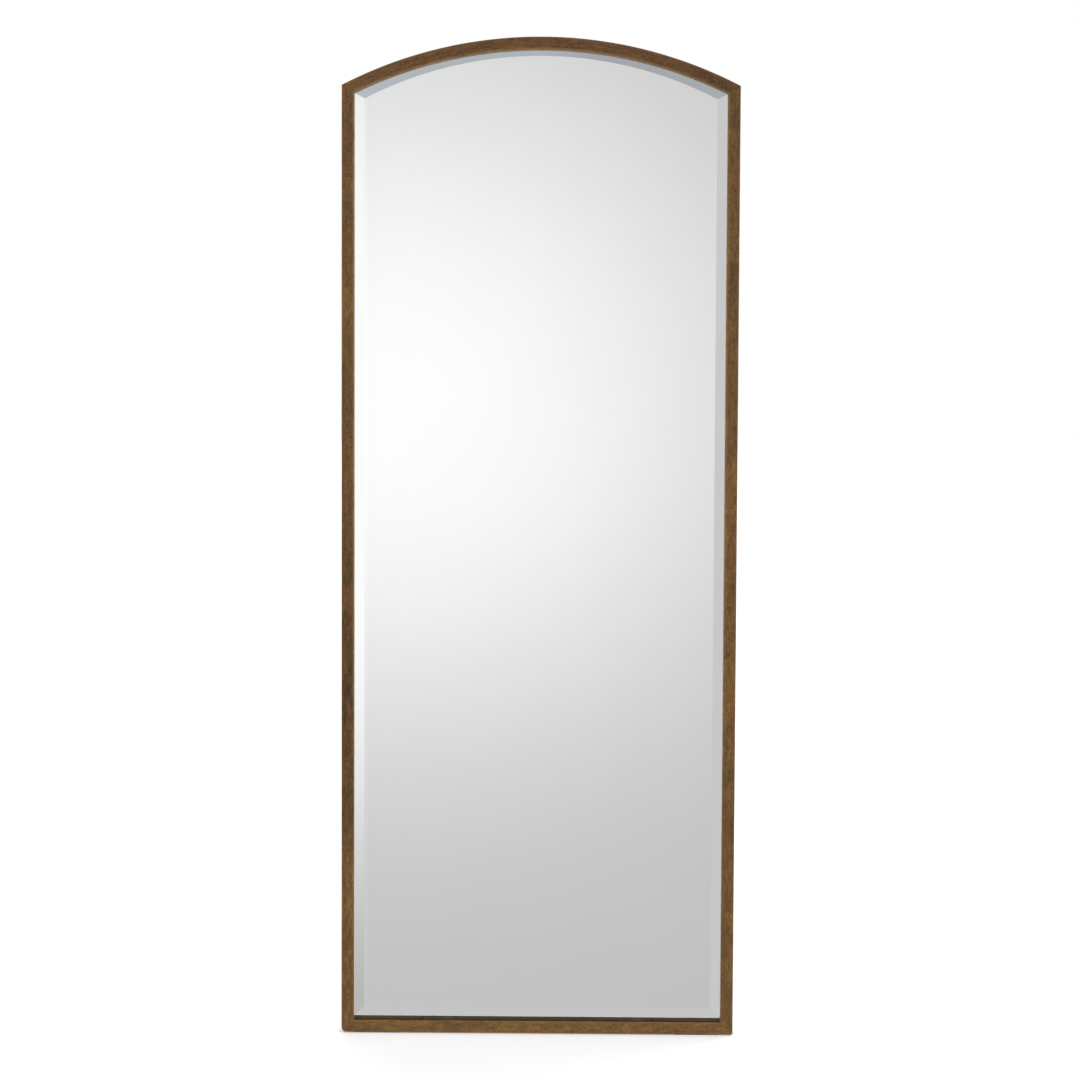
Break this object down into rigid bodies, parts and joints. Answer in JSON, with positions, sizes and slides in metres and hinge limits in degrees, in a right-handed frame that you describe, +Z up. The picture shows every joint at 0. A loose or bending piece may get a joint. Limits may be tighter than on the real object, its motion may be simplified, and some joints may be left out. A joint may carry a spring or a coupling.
{
  "type": "leaning floor mirror",
  "caption": "Tall floor mirror with a shallow arched top: bevelled glass set back in a slim brushed bronze tube frame, on a backing board, with swinging D-rings on the back.",
  "frame": {"origin": "on the floor, midway between the stiles, in the middle of the frame's depth", "axes": "+Z up the mirror, +X to the right seen from the front, +Y out of the back"},
  "size_m": [0.713, 0.037, 1.8014],
  "materials": {
    "frame_metal": "hand-brushed antique bronze on steel, lacquered",
    "mirror": "silvered, bevelled and polished",
    "safety_film": "smooth film",
    "backing_board": "sanded fibreboard",
    "foam_tape": "foam",
    "mastic": "set adhesive",
    "block_rubber": "matt",
    "bumper_rubber": "matt",
    "pad_rubber": "matt, fine texture",
    "black_screws": "black oxide",
    "plated_steel": "nickel plated"
  },
  "bodies": {
    "frame": {"arch_rail": "frame_metal", "backing_board": "backing_board", "board_tab_arch_left": "frame_metal", "board_tab_arch_right": "frame_metal", "board_tab_bottom_left": "frame_metal", "board_tab_bottom_right": "frame_metal", "board_tab_left_high": "frame_metal", "board_tab_left_low": "frame_metal", "board_tab_left_middle": "frame_metal", "board_tab_right_high": "frame_metal", "board_tab_right_low": "frame_metal", "board_tab_right_middle": "frame_metal", "board_tab_screws": "black_screws", "bottom_rail": "frame_metal", "floor_pad_left": "pad_rubber", "floor_pad_right": "pad_rubber", "hanger_screws_left": "plated_steel", "hanger_screws_right": "plated_steel", "hanger_strap_left": "plated_steel", "hanger_strap_right": "plated_steel", "left_stile": "frame_metal", "mastic_dabs": "mastic", "mirror_glass": "mirror", "right_stile": "frame_metal", "safety_film": "safety_film", "setting_block_left": "block_rubber", "setting_block_right": "block_rubber", "tape_strip_1": "foam_tape", "tape_strip_2": "foam_tape", "tape_strip_3": "foam_tape", "tape_strip_4": "foam_tape", "wall_bumper_lower_left": "bumper_rubber", "wall_bumper_lower_right": "bumper_rubber", "wall_bumper_upper_left": "bumper_rubber", "wall_bumper_upper_right": "bumper_rubber"},
    "left_ring": {"d_ring_left": "plated_steel"},
    "right_ring": {"d_ring_right": "plated_steel"}
  },
  "joints": [
    {"name": "left_ring_swing", "type": "hinge", "parent": "frame", "child": "left_ring", "pos_m": [-0.34525, 0.01778, 1.38144], "axis": [1, 0, 0], "range_deg": [0, 178]},
    {"name": "right_ring_swing", "type": "hinge", "parent": "frame", "child": "right_ring", "pos_m": [0.34525, 0.01778, 1.38144], "axis": [1, 0, 0], "range_deg": [0, 178]}
  ]
}
